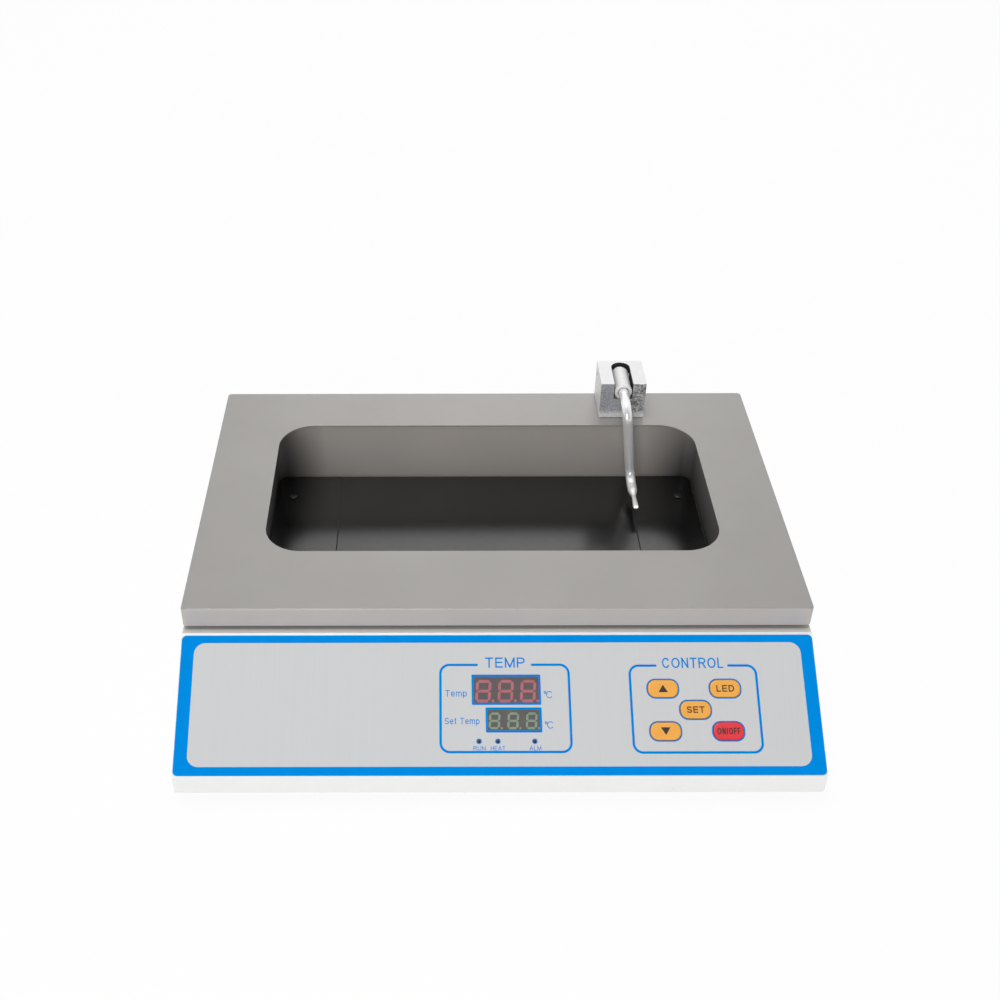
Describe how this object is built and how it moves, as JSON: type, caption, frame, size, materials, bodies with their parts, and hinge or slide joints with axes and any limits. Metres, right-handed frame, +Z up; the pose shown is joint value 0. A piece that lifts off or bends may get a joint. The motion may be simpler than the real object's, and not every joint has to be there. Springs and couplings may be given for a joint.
{
  "type": "tissue flotation bath",
  "caption": "Shallow heated water bath with a steel top plate over a black-floored tank, a sloping control panel with displays and keys, and a lift-up temperature probe.",
  "frame": {"origin": "on the bench, under the centre of the bath", "axes": "+X to the right as the user faces the panel, +Y to the rear, +Z up"},
  "size_m": [0.356, 0.29, 0.1075],
  "materials": {
    "black_floor": "glossy black",
    "black_plastic": "moulded",
    "black_rubber": "moulded",
    "circuit_green": "circuit board",
    "display_body": "dark",
    "green_window": "green filter",
    "lamp_red": "red lens",
    "lamp_white": "white board with lamp chips",
    "lead_grey": "insulated lead",
    "milled_aluminium": "milled",
    "orange_key": "orange",
    "panel_film": "printed film",
    "polished_steel": "polished stainless tube",
    "red_key": "red",
    "red_window": "red filter",
    "satin_steel": "satin stainless sheet",
    "silicone_orange": "silicone mat",
    "smoked_window": "dark smoked acrylic",
    "tank_steel": "drawn stainless",
    "white_foam": "foam",
    "white_paint": "white powder coat",
    "white_plastic": "white",
    "zinc_steel": "zinc plated"
  },
  "bodies": {
    "bath": {"alarm_lamp": "lamp_red", "base_plate": "zinc_steel", "block_screw_left": "zinc_steel", "block_screw_right": "zinc_steel", "board_post_lower_left": "zinc_steel", "board_post_lower_right": "zinc_steel", "board_post_upper_left": "zinc_steel", "board_post_upper_right": "zinc_steel", "control_board": "circuit_green", "cutout_lead": "lead_grey", "floor_plate": "black_floor", "foot_front_left": "black_rubber", "foot_front_right": "black_rubber", "foot_rear_left": "black_rubber", "foot_rear_right": "black_rubber", "foot_screw_front_left": "zinc_steel", "foot_screw_front_right": "zinc_steel", "foot_screw_rear_left": "zinc_steel", "foot_screw_rear_right": "zinc_steel", "heat_lamp": "lamp_red", "heat_sink": "milled_aluminium", "heater_lead": "lead_grey", "heater_mat": "silicone_orange", "holder_block": "milled_aluminium", "housing_shell": "white_paint", "insulation_pad": "white_foam", "light_board_left": "lamp_white", "light_board_right": "lamp_white", "light_window_left": "smoked_window", "light_window_right": "smoked_window", "mains_inlet": "black_plastic", "mains_lead": "lead_grey", "panel_film": "panel_film", "pivot_pin": "zinc_steel", "plate_gasket": "black_rubber", "plate_rail_left": "zinc_steel", "plate_rail_right": "zinc_steel", "power_board": "circuit_green", "probe_lead": "lead_grey", "run_lamp": "lamp_red", "set_display": "display_body", "set_window": "green_window", "signal_lead": "lead_grey", "temp_display": "display_body", "temp_window": "red_window", "thermal_cutout": "black_plastic", "top_plate": "satin_steel", "water_tank": "tank_steel", "window_screw_front_left": "zinc_steel", "window_screw_front_right": "zinc_steel", "window_screw_rear_left": "zinc_steel", "window_screw_rear_right": "zinc_steel"},
    "probe": {"probe_sleeve": "white_plastic", "probe_rod": "polished_steel"},
    "fuse_carrier": {"fuse_drawer": "black_plastic"},
    "up_key": {"key_up": "orange_key"},
    "down_key": {"key_down": "orange_key"},
    "set_key": {"key_set": "orange_key"},
    "light_key": {"key_light": "orange_key"},
    "power_key": {"key_power": "red_key"}
  },
  "joints": [
    {"name": "probe_hinge", "type": "hinge", "parent": "bath", "child": "probe", "pos_m": [0.0912, 0.1353, 0.1012], "axis": [-1, 0, 0], "range_deg": [0, 90]},
    {"name": "fuse_slide", "type": "slide", "parent": "bath", "child": "fuse_carrier", "axis": [0, 1, 0], "range_m": [0, 0.014]},
    {"name": "up_key_press", "type": "slide", "parent": "bath", "child": "up_key", "axis": [0, 0.5211, -0.8535], "range_m": [0, 0.0005], "stiffness_N_per_m": 600, "springref_m": -0.0005},
    {"name": "down_key_press", "type": "slide", "parent": "bath", "child": "down_key", "axis": [0, 0.5211, -0.8535], "range_m": [0, 0.0005], "stiffness_N_per_m": 600, "springref_m": -0.0005},
    {"name": "set_key_press", "type": "slide", "parent": "bath", "child": "set_key", "axis": [0, 0.5211, -0.8535], "range_m": [0, 0.0005], "stiffness_N_per_m": 600, "springref_m": -0.0005},
    {"name": "light_key_press", "type": "slide", "parent": "bath", "child": "light_key", "axis": [0, 0.5211, -0.8535], "range_m": [0, 0.0005], "stiffness_N_per_m": 600, "springref_m": -0.0005},
    {"name": "power_key_press", "type": "slide", "parent": "bath", "child": "power_key", "axis": [0, 0.5211, -0.8535], "range_m": [0, 0.0005], "stiffness_N_per_m": 600, "springref_m": -0.0005}
  ]
}
